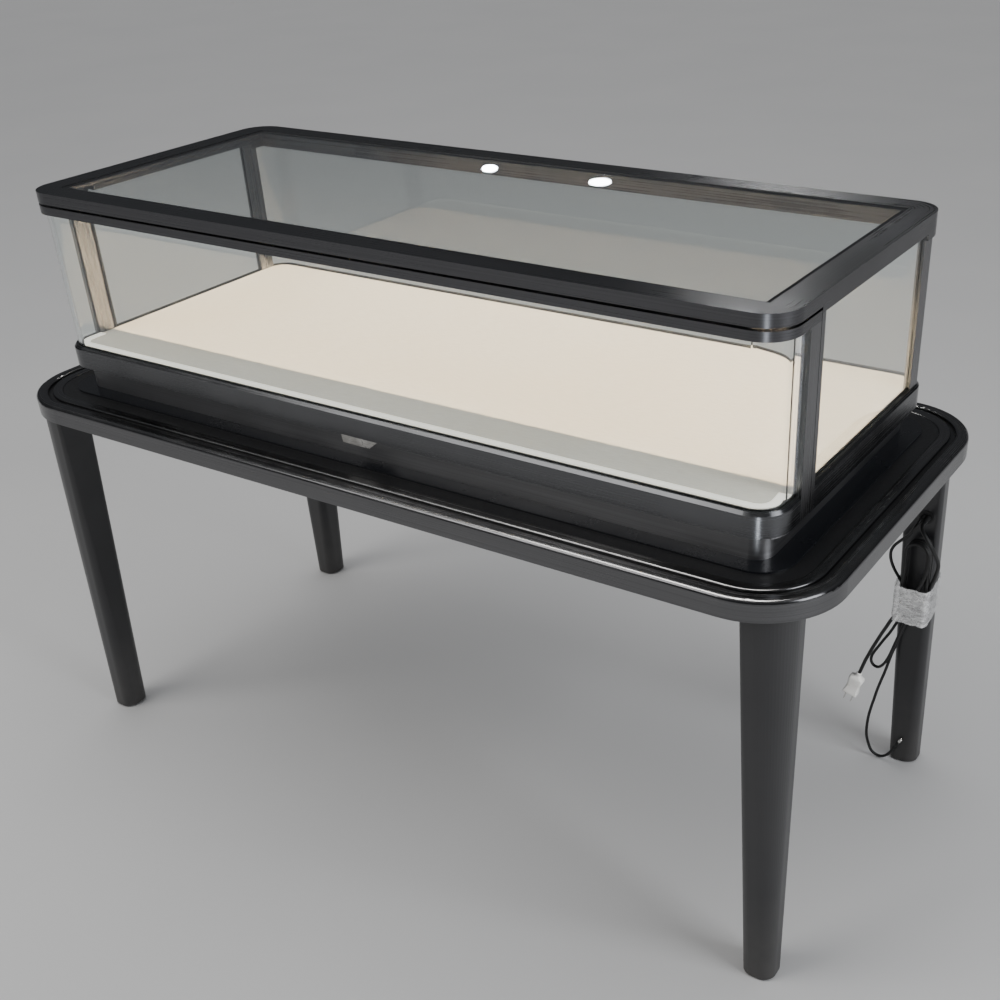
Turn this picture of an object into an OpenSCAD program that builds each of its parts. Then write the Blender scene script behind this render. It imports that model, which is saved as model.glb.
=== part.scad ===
// Tabletop display case: a glazed case with rounded corners on a leg table.
// Millimetres, +Z up, front towards -Y, origin on the floor under the centre.

/* [Table] */
// Half length of the table top
table_hx = 716; // [700:1:740]
// Half depth of the table top
table_hy = 330; // [322:1:350]
// Corner radius of the table top
table_r = 117; // [105:1:125]
// Height of the table's steel edge
table_h = 630; // [620:1:640]
// Height of the steel edge band
edge_h = 30; // [28:1:34]
// Thickness of the core board
core_t = 19; // [16:1:20]
// Thickness of the gloss panel
panel_t = 6; // [4:1:8]

/* [Legs] */
// Foot centre from the middle, along the length
foot_x = 663; // [650:1:670]
// Foot centre from the middle, along the depth
foot_y = 285; // [275:1:290]
// Width of a leg at the floor
foot_w = 48; // [40:1:52]
// Width of a leg at the top
leg_top_w = 63; // [56:1:66]
// How far a leg's top leans towards the middle
leg_lean = 12; // [8:1:16]

/* [Case] */
// Half length of the case
case_hx = 638; // [620:1:640]
// Half depth of the case
case_hy = 256; // [250:1:258]
// Corner radius of the case
case_r = 45; // [42:1:50]
// Height of the case's top face above the floor
case_top = 950; // [940:1:960]
// Height of the steel rim above the floor
rim_z = 705; // [703:1:706]
// Height of the drawer's lower edge above the floor
ridge_z = 671; // [670.5:0.5:672]
// Width of the top frame's face
frame_w = 39; // [37:1:42]
// Glass thickness of the walls
glass_t = 6; // [5:0.5:6.5]
// Glass thickness of the top
top_glass_t = 8; // [6:0.5:8]

/* [Drawer] */
// Gap between the top frame and the drawer's top rail
gap = 3.5; // [3:0.5:5]
// Back edge of the drawer's side stiles, from the middle
seam_y = 158.5; // [158:0.1:160]
// Front edge of the drawer's side stiles, from the middle
stile_y = 187; // [184:1:190]

/* [Cord] */
// Diameter of the mains lead
cord_d = 6; // [5.5:0.5:6.5]
// Diameter of the low voltage lead
lead_d = 5; // [4.5:0.5:5.5]

/* [Hidden] */
$fn = 96;
eps = 0.01;
skin = 1.5;                       // folded steel sheet
steel = "#3b3b3e";
steel_light = "#8b8b90";
black = "#16161a";
cream = "#f6ead6";
clear = [0.80, 0.86, 0.84, 0.30];

// table levels and insets from its outer edge
apron_z = table_h - edge_h;
lip_w = 19;
groove_w = 7;
band_w = 17;
strip_w = 24;
band_in = lip_w + groove_w;
strip_in = band_in + band_w;
panel_in = strip_in + strip_w;
band_t = 5;
strip_t = 3.5;
core_top = table_h - band_t;
core_z = core_top - core_t;
panel_top = core_top + panel_t;
lip_round = 6;
lip_inner_round = 3;
band_round = 2.5;

// legs
pad_t = 3;
leg_top_z = apron_z;
leg_top_x = foot_x - leg_lean;
leg_top_y = foot_y - leg_lean / 4;
plate_in = 58;
leg_sheet = 2;
foot_round = 18;
leg_round = 5;
leg_outer_round = 48;
hull_fn = 32;
corner_fn = 48;
arc_step = 6;
slice = 0.5;
bolt_at = [[-47, -47], [-47, 18], [18, -47]];
bolt_r = 4;
bolt_head_r = 6.5;
bolt_head_h = 4;
hex_sides = 6;

// base tier
base_in = 20;
base_hx = case_hx - base_in;
base_hy = case_hy - base_in;
base_r = case_r - base_in;
base_plate_top = ridge_z - 1;
base_plate_z = base_plate_top - skin;
base_rail_w = 18;
base_plate_front = 240;

// rim section, measured inwards from the outer face
rim_w = 16;
chamfer_in = 3.5;
chamfer_h = 4.5;
slot_out = 6.6;
slot_in = 14.4;
slot_depth = 11;
lip_drop = 0.4;

// glass plane
glass_out = 7.5;
glass_in = glass_out + glass_t;
seal_base = 1.2;
glass_bottom = rim_z - slot_depth + seal_base;

// top frame levels
face_h = 17;
side_face_h = 24.5;
rear_face_h = 33;
face_z = case_top - face_h;
side_face_z = case_top - side_face_h;
rear_face_z = case_top - rear_face_h;
top_t = 2;
ledge_w = 8;
ledge_t = 1.5;
glass_play = 0.5;
ledge_z = case_top - top_glass_t - glass_play - ledge_t;
door_rail_top = face_z - gap;
door_rail_z = rear_face_z;
door_rail_roof = 4.5;
door_slot_top = door_rail_top - door_rail_roof;
glass_top = door_slot_top - glass_play;
glass_rise = 10;
side_glass_top = side_face_z + glass_rise;
rear_glass_top = rear_face_z + glass_rise;

// posts
post_t = 7.5;
seam_gap = 1.2;
side_gap = 0.5;
post_y = seam_y - seam_gap;
rail_y = 147;
rear_post_y0 = 190;
rear_post_y1 = 219;
rear_post_out = 4;
rear_post_w = 14;

// drawer
deck_gap = 1.5;
deck_hx = case_hx - rim_w - deck_gap;
deck_r = case_r - rim_w;
cover_t = 1.6;
cover_top = rim_z - lip_drop;
board_t = 9;
trim_out = 16.6;
trim_in = 28;
trim_t = 1.2;
board_top = cover_top - cover_t;
board_z = board_top - board_t;
box_z = 672.5;
box_x = 607;
box_t = 12;
box_back = 225;
runner_y0 = 1 - stile_y;
runner_l = 395;
runner_z = 672.5;
runner_h = 20;
runner_t = 1.2;
runner_gap = 0.8;
runner_in = 2.5;
runner_in_step = 0.5;

// pull tab
tab_w = 66;
tab_cut = 15;
tab_h = 12;
tab_t = 2.5;
tab_x = -43;
tab_left_cut = 2;

// light
led_hx = 585;
led_y = -236;
led_w = 16;
led_h = 8;
led_wall = 1.5;
driver_size = [170, 42, 24];
driver_pos = [330, 40];

// cords: both leave through one outlet in the rear right leg
outlet = [661, 480];
outlet_r = 7;
outlet_flange_r = 11;
outlet_y = 252.2;
outlet_flange_t = 1.2;
bush_l = 4;
relief_r = 3.9;
relief_end_t = 0.4;
hank_x = 661;
hank_w = 44;
hank_z0 = 296;
hank_z1 = 446;
hank_y0 = 224;
hank_y1 = 253;
cord_fn = 10;
cord_side = [0.3, 0.9, 0.2];
film_z0 = 301;
film_z1 = 366;
film_t = 0.5;
film_x = 34;
film_y0 = 222;
film_leg_half = 29.6;
film_leg = [656.2, 283.2];
film_front_t = 10;
plug_len = 46;
plug_neck = 8;
plug_w = 26;
plug_t = 17;
plug_round = 4;
plug_neck_r = 5;
pin_l = 16;
pin_w = 6.3;
pin_t = 1.5;
pin_pitch = 12.7;
sleeve_l = 18;
sleeve_r = 4;
tip_l = 10;
tip_r = 2.75;

// mains lead, outlet to hank, on the right of the leg
mains_route = [
    [665, 231, 480], [665, 225, 480], [667, 217, 479], [672, 210, 476],
    [679, 206, 470], [686, 205, 461], [692, 207, 450], [696, 212, 438],
    [698, 219, 425], [697, 225, 412], [694, 230, 400], [691, 233, 388],
    [687, 236, 376], [684, 238, 364], [681, 239, 352], [680, 239, 340]];
// low voltage lead, outlet to hank, on the left of the leg
lead_route = [
    [657, 241, 480], [657, 237, 480], [656, 232, 477], [653, 229, 471],
    [649, 228, 463], [643, 229, 454], [636, 231, 446], [629, 233, 438],
    [622, 235, 429], [617, 237, 418], [616, 239, 406], [618, 241, 395],
    [622, 243, 384], [627, 246, 373], [633, 248, 363], [638, 250, 352],
    [641, 250, 341]];
// mains lead, hank to plug
plug_route = [
    [650, 227, 336], [643, 227, 322], [637, 228, 309], [630, 229, 295],
    [624, 229, 281], [617, 230, 265], [611, 230, 250], [605, 230, 235],
    [600, 230, 221], [595, 230, 207], [591, 230, 193], [587, 230, 179]];
// low voltage lead, the one fold that hangs out of the hank
fold_route = [
    [642, 250, 322], [641, 250, 306], [637, 250, 290], [631, 250, 274],
    [624, 250, 258], [616, 250, 243], [609, 250, 229], [603, 250, 217],
    [599, 249, 207], [599, 247, 198], [604, 246, 191], [612, 245, 190],
    [619, 244, 196], [625, 243, 206], [630, 243, 219], [634, 243, 233],
    [638, 243, 248], [642, 244, 263], [646, 244, 278], [651, 245, 293],
    [657, 245, 307]];
// low voltage lead, hank to floor and up to its connector
floor_route = [
    [652, 248, 318], [652, 250, 304], [650, 250, 290], [646, 250, 273],
    [641, 250, 256], [637, 250, 239], [632, 250, 221], [628, 250, 203],
    [624, 250, 184], [619, 250, 164], [614, 250, 143], [610, 250, 122],
    [606, 250, 101], [603, 250, 80], [602, 250, 60], [603, 250, 42],
    [607, 251, 26], [613, 251, 13], [621, 252, 6], [630, 253, 4],
    [639, 254, 8], [646, 255, 17], [651, 255, 27]];

// ---------- shared shapes ----------

// rounded rectangle with true arcs
module rounded_rect(hx, hy, r) {
    square([2 * (hx - r), 2 * hy], center = true);
    square([2 * hx, 2 * (hy - r)], center = true);
    for (sx = [-1, 1], sy = [-1, 1])
        translate([sx * (hx - r), sy * (hy - r)])
            circle(r = r);
}

// slab with the rounded outline between two levels
module slab(hx, hy, r, z0, z1) {
    translate([0, 0, z0])
        linear_extrude(z1 - z0)
            rounded_rect(hx, hy, r);
}

// block between two corners
module block(lo, hi) {
    translate(lo)
        cube(hi - lo);
}

// mirrors its children to the other side of the length
module side(s) {
    if (s < 0)
        mirror([1, 0, 0])
            children();
    else
        children();
}

// sweeps a profile (x outwards from the outline, y upwards) along one long run
module long_run(hx, hy, r) {
    translate([0, hy, 0])
        rotate([90, 0, 90])
            linear_extrude(2 * (hx - r), center = true)
                children();
}

// sweeps a profile along the right side between two stations
module side_run(hx, y0, y1) {
    translate([hx, y1, 0])
        rotate([90, 0, 0])
            linear_extrude(y1 - y0)
                children();
}

// sweeps a profile round the rear right corner
module corner_run(hx, hy, r) {
    translate([hx - r, hy - r, 0])
        rotate_extrude(angle = 90)
            translate([r, 0])
                children();
}

// closed ring
module ring_sweep(hx, hy, r) {
    for (s = [-1, 1])
        side(s)
            side_run(hx, -(hy - r), hy - r)
                children();
    for (m = [0, 1])
        mirror([0, m, 0]) {
            long_run(hx, hy, r)
                children();
            for (s = [-1, 1])
                side(s)
                    corner_run(hx, hy, r)
                        children();
        }
}

// rear run, rear corners and both sides forward to station y0
module u_sweep(hx, hy, r, y0) {
    long_run(hx, hy, r)
        children();
    for (s = [-1, 1])
        side(s) {
            corner_run(hx, hy, r)
                children();
            side_run(hx, y0, hy - r)
                children();
        }
}

// the same at the front: front run, front corners, sides back to y = -y0
module front_sweep(y0) {
    mirror([0, 1, 0])
        u_sweep(case_hx, case_hy, case_r, y0)
            children();
}

// box section seen end on, open below, with two rounded top corners
module cap_section(u0, u1, z0, z1, r0, r1, wall) {
    difference() {
        rounded_top(u0, u1, z0, z1, r0, r1);
        rounded_top(u0 + wall, u1 - wall, z0 - eps, z1 - wall, r0 / 2, r1 - wall);
    }
}

module rounded_top(u0, u1, z0, z1, r0, r1) {
    r = max(r0, r1);
    translate([u0, z0])
        square([u1 - u0, z1 - z0 - r]);
    translate([u0 + r0, z0])
        square([u1 - u0 - r0 - r1, z1 - z0]);
    translate([u0, z0])
        square([r0, z1 - z0 - r0]);
    translate([u1 - r1, z0])
        square([r1, z1 - z0 - r1]);
    translate([u0 + r0, z1 - r0])
        circle(r = r0, $fn = corner_fn);
    translate([u1 - r1, z1 - r1])
        circle(r = r1, $fn = corner_fn);
}

// folded rim section of the drawer front and of the case body
module rim_profile(z0) {
    fold_z = rim_z - slot_depth - skin;
    polygon([
        [0, z0], [0, rim_z - chamfer_h], [-chamfer_in, rim_z], [-slot_out, rim_z],
        [-slot_out, rim_z - slot_depth], [-slot_in, rim_z - slot_depth],
        [-slot_in, rim_z - lip_drop], [-rim_w, rim_z - lip_drop], [-rim_w, z0],
        [-rim_w + skin, z0], [-rim_w + skin, fold_z], [-slot_out + skin, fold_z],
        [-slot_out + skin, rim_z - skin], [-chamfer_in - skin / 2, rim_z - skin],
        [-skin, rim_z - chamfer_h - skin / 2], [-skin, z0]]);
}

// rubber channel in the rim's slot
module seal_profile() {
    bottom = rim_z - slot_depth;
    polygon([
        [-slot_out, bottom], [-slot_out, rim_z - lip_drop], [-glass_out, rim_z - lip_drop],
        [-glass_out, glass_bottom], [-glass_in, glass_bottom], [-glass_in, rim_z - lip_drop],
        [-slot_in, rim_z - lip_drop], [-slot_in, bottom]]);
}

module glass_profile(z0, z1) {
    translate([-glass_in, z0])
        square([glass_t, z1 - z0]);
}

// ---------- table ----------

module table_edge() {
    color(steel_light)
        ring_sweep(table_hx, table_hy, table_r)
            cap_section(-lip_w, 0, apron_z, table_h, lip_inner_round, lip_round, skin);
}

module table_band() {
    color(steel_light)
        ring_sweep(table_hx, table_hy, table_r)
            rounded_top(-strip_in, -band_in, core_top, table_h, band_round, band_round);
}

module table_strip() {
    color(steel)
        difference() {
            slab(table_hx - strip_in, table_hy - strip_in, table_r - strip_in,
                 core_top, core_top + strip_t);
            slab(table_hx - panel_in, table_hy - panel_in, table_r - panel_in,
                 core_top - 1, core_top + strip_t + 1);
        }
}

module top_panel() {
    color(black)
        slab(table_hx - panel_in, table_hy - panel_in, table_r - panel_in,
             core_top, panel_top);
}

module table_core() {
    color(black)
        slab(table_hx - lip_w, table_hy - lip_w, table_r - lip_w, core_z, core_top);
}

// leg outline: quarter round outside, flat faces towards the middle
module leg_outline(w, r_out, r_in) {
    h = w / 2;
    hull() {
        polygon([for (a = [0:arc_step:90]) (h - r_out) * [1, 1] + r_out * [cos(a), sin(a)]]);
        for (p = [[-1, -1], [-1, 1], [1, -1]])
            translate(p * (h - r_in))
                circle(r = r_in, $fn = hull_fn);
    }
}

// tapered solid between floor and top, thinned by inset t
module leg_body(t, z0, z1) {
    hull() {
        translate([foot_x, foot_y, z0])
            linear_extrude(slice)
                leg_outline(foot_w - 2 * t, foot_round - t, foot_round - t);
        translate([leg_top_x, leg_top_y, z1 - slice])
            linear_extrude(slice)
                leg_outline(leg_top_w - 2 * t, leg_outer_round - t, leg_round - t);
    }
}

module leg() {
    difference() {
        leg_body(0, pad_t, leg_top_z);
        leg_body(leg_sheet, pad_t + leg_sheet, leg_top_z + 1);
    }
}

// places a child made for the rear right corner at any corner
module corner(sx, sy) {
    mirror([sx < 0 ? 1 : 0, 0, 0])
        mirror([0, sy < 0 ? 1 : 0, 0])
            children();
}

module leg_front_left() {
    color(steel)
        corner(-1, -1)
            leg();
}

module leg_front_right() {
    color(steel)
        corner(1, -1)
            leg();
}

module leg_rear_left() {
    color(steel)
        corner(-1, 1)
            leg();
}

// the rear right leg also has the cable outlet
module leg_rear_right() {
    color(steel)
        difference() {
            leg();
            translate([outlet[0], outlet_y + outlet_r, outlet[1]])
                rotate([90, 0, 0])
                    cylinder(r = outlet_r, h = 3 * outlet_r, center = true);
        }
}

module bolt_places() {
    for (p = bolt_at)
        translate([leg_top_x + p[0], leg_top_y + p[1], leg_top_z])
            children();
}

// mounting plate over one leg, fitted inside the steel edge
module leg_plate() {
    difference() {
        intersection() {
            slab(table_hx - lip_w, table_hy - lip_w, table_r - lip_w, leg_top_z, core_z);
            block([leg_top_x - plate_in, leg_top_y - plate_in, leg_top_z],
                  [table_hx, table_hy, core_z]);
        }
        bolt_places()
            translate([0, 0, -1])
                cylinder(r = bolt_r, h = core_z - leg_top_z + 2);
    }
}

module leg_plates() {
    color(steel)
        for (sx = [-1, 1], sy = [-1, 1])
            corner(sx, sy)
                leg_plate();
}

module leg_bolts() {
    color("#9a9a9c")
        for (sx = [-1, 1], sy = [-1, 1])
            corner(sx, sy)
                bolt_places() {
                    translate([0, 0, -bolt_head_h])
                        cylinder(r = bolt_head_r, h = bolt_head_h, $fn = hex_sides);
                    cylinder(r = bolt_r, h = core_z - leg_top_z);
                }
}

module foot_pads() {
    color(black)
        for (sx = [-1, 1], sy = [-1, 1])
            corner(sx, sy)
                translate([foot_x, foot_y, 0])
                    cylinder(r = foot_w / 2 - 3, h = pad_t);
}

// ---------- fixed case ----------

module base_skirt() {
    color(steel)
        difference() {
            slab(base_hx, base_hy, base_r, panel_top, base_plate_z);
            slab(base_hx - skin, base_hy - skin, base_r - skin, panel_top - 1, base_plate_z + 1);
        }
}

module base_frame() {
    inner_hx = base_hx - skin - base_rail_w;
    inner_hy = base_hy - skin - base_rail_w;
    color("#b99a6b") {
        difference() {
            slab(base_hx - skin, base_hy - skin, base_r - skin, panel_top, base_plate_z);
            block([-inner_hx, -inner_hy, panel_top - 1], [inner_hx, inner_hy, base_plate_z + 1]);
        }
        for (x = [-base_hx / 3, base_hx / 3])
            block([x - base_rail_w / 2, -inner_hy, panel_top],
                  [x + base_rail_w / 2, inner_hy, base_plate_z]);
    }
}

module base_plate() {
    color(steel)
        intersection() {
            slab(case_hx - skin, case_hy - skin, case_r - skin, base_plate_z, base_plate_top);
            block([-case_hx, -base_plate_front, base_plate_z], [case_hx, case_hy, base_plate_top]);
        }
}

module body_rail() {
    color(steel)
        u_sweep(case_hx, case_hy, case_r, -rail_y)
            rim_profile(base_plate_top);
}

module body_seal() {
    color(black)
        u_sweep(case_hx, case_hy, case_r, -rail_y)
            seal_profile();
}

module front_post() {
    block([case_hx - post_t, -post_y, base_plate_top], [case_hx, -rail_y, side_face_z]);
}

module front_post_left() {
    color(steel)
        side(-1)
            front_post();
}

module front_post_right() {
    color(steel)
        side(1)
            front_post();
}

module rear_post() {
    x1 = case_hx - rear_post_out;
    difference() {
        block([x1 - rear_post_w, rear_post_y0, rim_z], [x1, rear_post_y1, rear_face_z]);
        block([x1 - rear_post_w + skin, rear_post_y0 + skin, rim_z - 1],
              [x1 - skin, rear_post_y1 - skin, rear_face_z + 1]);
    }
}

module rear_post_left() {
    color(steel)
        side(-1)
            rear_post();
}

module rear_post_right() {
    color(steel)
        side(1)
            rear_post();
}

// hollow frame, its underside at level z0, kept between two stations
module frame_zone(z0, y0, y1) {
    inner_hx = case_hx - frame_w;
    inner_hy = case_hy - frame_w;
    intersection() {
        difference() {
            slab(case_hx, case_hy, case_r, z0, case_top);
            block([-inner_hx, -inner_hy, z0 - 1], [inner_hx, inner_hy, case_top + 1]);
            difference() {
                slab(case_hx - skin, case_hy - skin, case_r - skin, z0 + skin, case_top - top_t);
                block([-inner_hx - skin, -inner_hy - skin, z0],
                      [inner_hx + skin, inner_hy + skin, case_top]);
            }
        }
        block([-case_hx, y0, z0], [case_hx, y1, case_top]);
    }
}

// closing plates where the frame's underside steps
module frame_step(y, z0, z1) {
    inner_hx = case_hx - frame_w;
    for (s = [-1, 1])
        side(s)
            block([inner_hx, y, z0], [case_hx, y + skin, z1 + skin]);
}

module top_frame() {
    inner_hx = case_hx - frame_w;
    inner_hy = case_hy - frame_w;
    color(steel)
        difference() {
            union() {
                frame_zone(face_z, -case_hy, -post_y);
                frame_zone(side_face_z, -post_y, rear_post_y0);
                frame_zone(rear_face_z, rear_post_y0, case_hy);
                frame_step(-post_y, side_face_z, face_z);
                frame_step(rear_post_y0, rear_face_z, side_face_z);
                difference() {
                    block([-inner_hx, -inner_hy, ledge_z], [inner_hx, inner_hy, ledge_z + ledge_t]);
                    block([-inner_hx + ledge_w, -inner_hy + ledge_w, ledge_z - 1],
                          [inner_hx - ledge_w, inner_hy - ledge_w, ledge_z + ledge_t + 1]);
                }
            }
            for (s = [-1, 1])
                side(s)
                    block([case_hx - slot_in, -post_y + skin + eps, side_face_z - 1],
                          [case_hx - slot_out, rear_post_y0, side_face_z + skin + eps]);
            intersection() {
                u_sweep(case_hx, case_hy, case_r, 0)
                    translate([-slot_in, rear_face_z - 1])
                        square([slot_in - slot_out, skin + 1 + eps]);
                block([-case_hx, rear_post_y1, rear_face_z - 2], [case_hx, case_hy, case_top]);
            }
        }
}

// rubber strips beside the glass where it enters the top frame
module frame_seal() {
    strips = [[-slot_in, -glass_in], [-glass_out, -slot_out]];
    color(black) {
        for (s = [-1, 1], p = strips)
            side(s)
                block([case_hx + p[0], -post_y + skin + eps, side_face_z],
                      [case_hx + p[1], rear_post_y0, side_face_z + skin]);
        intersection() {
            for (p = strips)
                u_sweep(case_hx, case_hy, case_r, 0)
                    translate([p[0], rear_face_z])
                        square([p[1] - p[0], skin]);
            block([-case_hx, rear_post_y1, rear_face_z - 1], [case_hx, case_hy, case_top]);
        }
    }
}

module top_glass() {
    hx = case_hx - frame_w - glass_play;
    hy = case_hy - frame_w - glass_play;
    color(clear)
        block([-hx, -hy, ledge_z + ledge_t], [hx, hy, ledge_z + ledge_t + top_glass_t]);
}

module side_glass() {
    block([case_hx - glass_in, -post_y + 2 * skin, glass_bottom],
          [case_hx - glass_out, rear_post_y0, side_glass_top]);
}

module side_glass_left() {
    color(clear)
        side(-1)
            side_glass();
}

module side_glass_right() {
    color(clear)
        side(1)
            side_glass();
}

module rear_glass() {
    color(clear)
        intersection() {
            u_sweep(case_hx, case_hy, case_r, 0)
                glass_profile(glass_bottom, rear_glass_top);
            block([-case_hx, rear_post_y1, 0], [case_hx, case_hy, case_top]);
        }
}

// ---------- light ----------

module led_channel() {
    color("#b8b8bc")
        difference() {
            block([-led_hx, led_y, face_z - led_h], [led_hx, led_y + led_w, face_z]);
            block([-led_hx + led_wall, led_y + led_wall, face_z - led_h + led_wall],
                  [led_hx - led_wall, led_y + led_w + 1, face_z - led_wall]);
        }
}

module led_diffuser() {
    color("#fff6e6")
        block([-led_hx + led_wall, led_y + led_w - led_wall, face_z - led_h + led_wall],
              [led_hx - led_wall, led_y + led_w, face_z - led_wall]);
}

module led_driver() {
    color("#d8d8d8")
        translate([driver_pos[0], driver_pos[1], panel_top])
            cube(driver_size);
}

// ---------- runners ----------

// channel standing on edge, web on the outside, nested by step n
module runner(n) {
    z0 = runner_z + n * (runner_t + runner_gap);
    z1 = runner_z + runner_h - n * (runner_t + runner_gap);
    x1 = case_hx - rim_w - n * (runner_t + runner_gap);
    x0 = box_x + runner_in + n * runner_in_step;
    difference() {
        block([x0, runner_y0, z0], [x1, runner_y0 + runner_l, z1]);
        block([x0 - 1, runner_y0 - 1, z0 + runner_t],
              [x1 - runner_t, runner_y0 + runner_l + 1, z1 - runner_t]);
    }
}

// innermost channel, web against the drawer box
module runner_inner() {
    n = 2;
    z0 = runner_z + n * (runner_t + runner_gap);
    z1 = runner_z + runner_h - n * (runner_t + runner_gap);
    x1 = case_hx - rim_w - n * (runner_t + runner_gap);
    difference() {
        block([box_x, runner_y0, z0], [x1, runner_y0 + runner_l, z1]);
        block([box_x + runner_t, runner_y0 - 1, z0 + runner_t],
              [x1 + 1, runner_y0 + runner_l + 1, z1 - runner_t]);
    }
}

module runner_outer_left() {
    color(steel_light)
        side(-1)
            runner(0);
}

module runner_outer_right() {
    color(steel_light)
        side(1)
            runner(0);
}

module runner_middle_left() {
    color(steel_light)
        side(-1)
            runner(1);
}

module runner_middle_right() {
    color(steel_light)
        side(1)
            runner(1);
}

module runner_inner_left() {
    color(steel_light)
        side(-1)
            runner_inner();
}

module runner_inner_right() {
    color(steel_light)
        side(1)
            runner_inner();
}

// ---------- drawer ----------

module front_rail() {
    color(steel_light)
        front_sweep(stile_y)
            rim_profile(ridge_z);
}

module front_seal() {
    color(black)
        front_sweep(stile_y)
            seal_profile();
}

module front_glass() {
    color(clear)
        front_sweep(stile_y)
            glass_profile(glass_bottom, glass_top);
}

module stile() {
    difference() {
        block([case_hx - rim_w + side_gap, -stile_y, ridge_z], [case_hx, -seam_y, door_rail_z]);
        block([case_hx - rim_w + side_gap + skin, -stile_y + skin, ridge_z - 1],
              [case_hx - skin, -seam_y - skin, door_rail_z + 1]);
    }
}

module stile_left() {
    color(steel)
        side(-1)
            stile();
}

module stile_right() {
    color(steel)
        side(1)
            stile();
}

module door_rail() {
    color(steel)
        front_sweep(seam_y)
            polygon([
                [0, door_rail_z], [0, door_rail_top], [-rim_w, door_rail_top],
                [-rim_w, door_rail_z], [-slot_in, door_rail_z], [-slot_in, door_slot_top],
                [-slot_out, door_slot_top], [-slot_out, door_rail_z]]);
}

// deck outline: meets the front rail, clears the rail of the body
module deck_outline() {
    front = case_hy - rim_w;
    rear = front - deck_gap;
    translate([0, (rear - front) / 2])
        rounded_rect(deck_hx, (front + rear) / 2, deck_r);
}

module deck_board() {
    color("#c9ad7f")
        translate([0, 0, board_z])
            linear_extrude(board_t)
                deck_outline();
}

module deck_cover() {
    color(cream)
        translate([0, 0, board_top])
            linear_extrude(cover_t)
                deck_outline();
}

// white edge strip along the front of the deck
module deck_trim() {
    color("#f4f4f0")
        front_sweep(stile_y)
            translate([-trim_in, cover_top])
                square([trim_in - trim_out, trim_t]);
}

module drawer_box() {
    front = case_hy - rim_w;
    color("#c9ad7f")
        intersection() {
            union() {
                for (s = [-1, 1])
                    side(s)
                        block([box_x - box_t, -front, box_z], [box_x, box_back, board_z]);
                for (x = [-box_x / 3, box_x / 3])
                    block([x - box_t / 2, -front, box_z], [x + box_t / 2, box_back, board_z]);
                block([-box_x, box_back - box_t, box_z], [box_x, box_back, board_z]);
            }
            translate([0, 0, box_z])
                linear_extrude(board_z - box_z)
                    deck_outline();
        }
}

module pull_tab() {
    color("#c8c8c4")
        translate([tab_x, -case_hy + tab_t, ridge_z])
            rotate([90, 0, 0])
                linear_extrude(tab_t)
                    polygon([[0, 0], [tab_w, 0], [tab_w - tab_cut, -tab_h], [tab_left_cut, -tab_h]]);
}

// ---------- cords ----------

function unit(v) = v / norm(v);

function tangent(p, i) = unit(p[min(i + 1, len(p) - 1)] - p[max(i - 1, 0)]);

// frame carried along the route without twisting
function carry(p, i, u) =
    let (t = tangent(p, i)) unit(u - (u * t) * t);

function frames(p, i, u) =
    i >= len(p) ? [] : let (v = carry(p, i, u)) concat([v], frames(p, i + 1, v));

// round tube along points p, closed at both ends
module tube(p, d) {
    side_v = frames(p, 0, cord_side);
    rings = [for (i = [0:len(p) - 1])
        let (u = side_v[i], w = cross(tangent(p, i), u))
        for (k = [0:cord_fn - 1])
            p[i] + d / 2 * (u * cos(360 * k / cord_fn) + w * sin(360 * k / cord_fn))];
    walls = [for (i = [0:len(p) - 2], k = [0:cord_fn - 1])
        let (a = i * cord_fn + k, b = i * cord_fn + (k + 1) % cord_fn)
        [a, b, b + cord_fn, a + cord_fn]];
    last = (len(p) - 1) * cord_fn;
    ends = [[for (k = [cord_fn - 1:-1:0]) k], [for (k = [0:cord_fn - 1]) last + k]];
    polyhedron(points = rings, faces = [for (f = concat(walls, ends)) [for (k = [len(f) - 1:-1:0]) f[k]]]);
}

// rubber bush in the leg with a tapered relief on each lead
module cord_outlet() {
    color(black) {
        translate([outlet[0], outlet_y, outlet[1]])
            rotate([90, 0, 0]) {
                cylinder(r = outlet_flange_r, h = outlet_flange_t);
                translate([0, 0, -bush_l])
                    cylinder(r = outlet_r, h = bush_l);
            }
        for (route = [mains_route, lead_route])
            translate([route[0][0], outlet_y - outlet_flange_t, outlet[1]])
                rotate([90, 0, 0])
                    cylinder(r1 = relief_r, r2 = cord_d / 2 + relief_end_t,
                             h = outlet_y - outlet_flange_t - route[0][1]);
    }
}

module mains_cord() {
    color(black)
        tube(mains_route, cord_d);
}

module lead_cord() {
    color(black)
        tube(lead_route, lead_d);
}

module plug_cord() {
    color(black)
        tube(plug_route, cord_d);
}

module fold_cord() {
    color(black)
        tube(fold_route, lead_d);
}

module floor_cord() {
    color(black)
        tube(floor_route, lead_d);
}

module cord_hank() {
    r = hank_w / 2;
    color(black)
        translate([hank_x, hank_y1, 0])
            rotate([90, 0, 0])
                linear_extrude(hank_y1 - hank_y0)
                    union() {
                        translate([-r, hank_z0 + r])
                            square([hank_w, hank_z1 - hank_z0 - hank_w]);
                        translate([0, hank_z0 + r])
                            circle(r = r);
                        translate([0, hank_z1 - r])
                            circle(r = r);
                    }
}

// places a fitting at the end of its lead, pointing along the last stretch
module at_end(route) {
    n = len(route) - 1;
    t = unit(route[n] - route[n - 1]);
    translate(route[n])
        rotate([0, acos(t[2]), atan2(t[1], t[0])])
            children();
}

module mains_plug() {
    color("#efefec")
        at_end(plug_route) {
            translate([0, 0, plug_neck])
                linear_extrude(plug_len - plug_neck)
                    rounded_rect(plug_w / 2, plug_t / 2, plug_round);
            cylinder(r = plug_neck_r, h = plug_neck);
        }
}

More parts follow.
